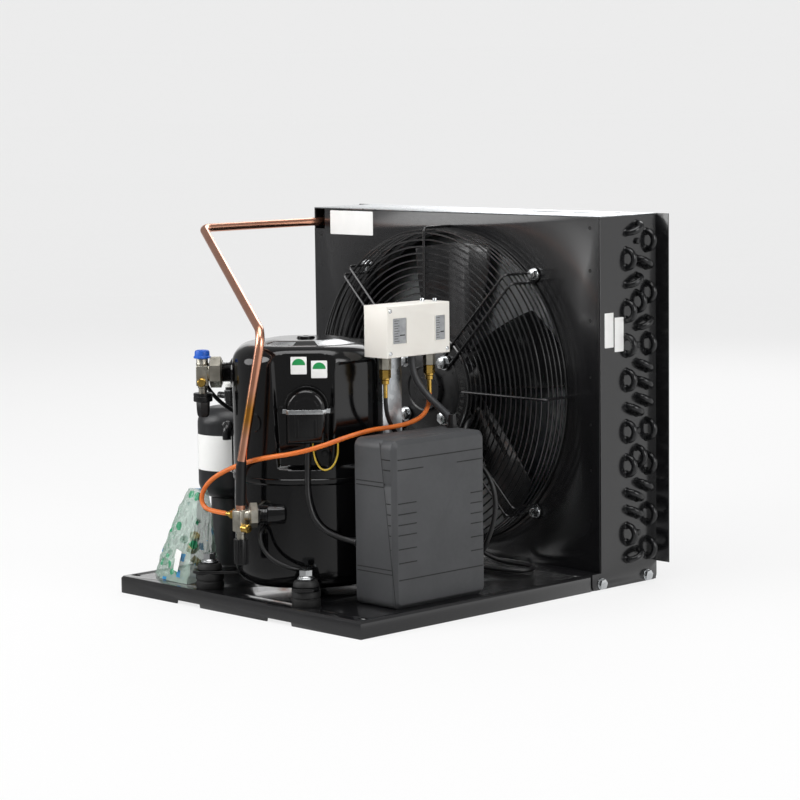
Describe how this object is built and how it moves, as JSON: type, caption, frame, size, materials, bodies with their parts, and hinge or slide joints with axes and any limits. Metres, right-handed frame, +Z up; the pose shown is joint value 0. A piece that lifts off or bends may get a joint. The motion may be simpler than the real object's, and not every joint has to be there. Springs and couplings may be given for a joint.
{
  "type": "refrigeration condensing unit",
  "caption": "Air-cooled condensing unit: hermetic compressor, finned coil with guarded fan, receiver, pressure switch and electrical box on a base pan.",
  "frame": {"origin": "on the floor, under the middle of the whole unit", "axes": "+Z up, +X along the condenser towards its return bends, -Y towards the compressor side"},
  "size_m": [0.6492, 0.6191, 0.539],
  "materials": {
    "black_paint": "satin black powder coat",
    "guard_paint": "satin black coat on wire",
    "black_coil_paint": "glossy black dip paint",
    "compressor_gloss": "glossy black enamel",
    "grey_paint": "satin dark grey coat",
    "white_paint": "smooth off-white paint",
    "zinc_sheet": "zinc-plated sheet",
    "zinc_fastener": "bright zinc plate",
    "nickel_steel": "dull nickel plate",
    "fin_aluminium": "plain sheet",
    "copper": "drawn copper",
    "brass": "machined brass",
    "rubber": "moulded black rubber",
    "black_plastic": "moulded black",
    "grey_plastic": "grained dark grey",
    "white_plastic": "moulded white",
    "blue_plastic": "soft moulded blue",
    "orange_hose": "smooth orange hose",
    "black_hose": "smooth black jacket",
    "yellow_wire": "yellow and green jacket",
    "clear_film": "clear film with loose brass parts"
  },
  "bodies": {
    "unit": {"base_plate": "black_paint", "end_plate_right": "black_paint", "end_plate_left": "black_paint", "fan_shroud": "black_paint", "top_lid": "zinc_sheet", "coil_fins": "fin_aluminium", "coil_tubes": "copper", "return_bends": "black_coil_paint", "hairpin_bends": "black_coil_paint", "gas_header": "black_coil_paint", "liquid_header": "black_coil_paint", "guard_rings": "guard_paint", "guard_rods": "guard_paint", "case_bolts": "zinc_fastener", "fan_motor": "black_plastic", "compressor_lower_shell": "compressor_gloss", "compressor_upper_shell": "compressor_gloss", "compressor_feet": "compressor_gloss", "mount_grommets": "rubber", "mount_bolts": "zinc_fastener", "terminal_pins": "zinc_fastener", "terminal_cover": "black_plastic", "terminal_strap": "zinc_fastener", "swivel_nuts": "nickel_steel", "suction_valve_body": "nickel_steel", "discharge_valve_body": "nickel_steel", "service_port_caps": "brass", "receiver_shell": "grey_paint", "receiver_foot": "grey_paint", "receiver_valve": "brass", "receiver_valve_cap": "white_plastic", "receiver_elbow": "black_coil_paint", "switch_post": "zinc_sheet", "switch_chassis": "zinc_sheet", "switch_cover": "white_paint", "switch_bellows": "nickel_steel", "hose_fittings": "brass", "ebox_housing": "grey_plastic", "capacitors": "fin_aluminium", "start_relay": "black_plastic", "terminal_block": "white_plastic", "discharge_line": "copper", "liquid_line": "copper", "high_side_hose": "orange_hose", "low_side_hose": "black_hose", "compressor_cable": "black_hose", "switch_cable": "black_hose", "motor_cable": "black_hose", "earth_wire": "yellow_wire", "heater_lead": "black_hose", "fittings_bag": "clear_film"},
    "impeller": {"fan_impeller": "black_paint"},
    "suction_stem": {"suction_spindle": "nickel_steel"},
    "discharge_stem": {"discharge_spindle": "nickel_steel"},
    "suction_cap": {"suction_stem_cap": "black_plastic"},
    "discharge_cap": {"discharge_stem_cap": "black_plastic"},
    "blue_plug": {"suction_plug": "blue_plastic"},
    "range_screw": {"range_spindle": "zinc_fastener"},
    "difference_screw": {"difference_spindle": "zinc_fastener"},
    "box_cover": {"ebox_cover": "grey_plastic"}
  },
  "joints": [
    {"name": "fan_spin", "type": "hinge", "parent": "unit", "child": "impeller", "pos_m": [0, 0.172, 0.276], "axis": [0, 1, 0], "continuous": true},
    {"name": "suction_stem_turn", "type": "hinge", "parent": "unit", "child": "suction_stem", "pos_m": [-0.04524, -0.26424, 0.291], "axis": [0, 0, 1], "range_deg": [-1800, 0]},
    {"name": "discharge_stem_turn", "type": "hinge", "parent": "unit", "child": "discharge_stem", "pos_m": [0.0717, -0.2996, 0.101], "axis": [0, 0, 1], "range_deg": [-1800, 0]},
    {"name": "suction_cap_off", "type": "slide", "parent": "unit", "child": "suction_cap", "axis": [0, 0, -1], "range_m": [0, 0.05]},
    {"name": "discharge_cap_off", "type": "slide", "parent": "unit", "child": "discharge_cap", "axis": [0, 0, -1], "range_m": [0, 0.045]},
    {"name": "plug_off", "type": "slide", "parent": "unit", "child": "blue_plug", "axis": [0, 0, 1], "range_m": [0, 0.06]},
    {"name": "range_turn", "type": "hinge", "parent": "unit", "child": "range_screw", "pos_m": [0.178, -0.05, 0.425], "axis": [0, 0, 1], "range_deg": [-720, 720]},
    {"name": "difference_turn", "type": "hinge", "parent": "unit", "child": "difference_screw", "pos_m": [0.192, -0.039, 0.425], "axis": [0, 0, 1], "range_deg": [-720, 720]},
    {"name": "cover_off", "type": "slide", "parent": "unit", "child": "box_cover", "axis": [1, 0, 0], "range_m": [0, 0.1]}
  ]
}
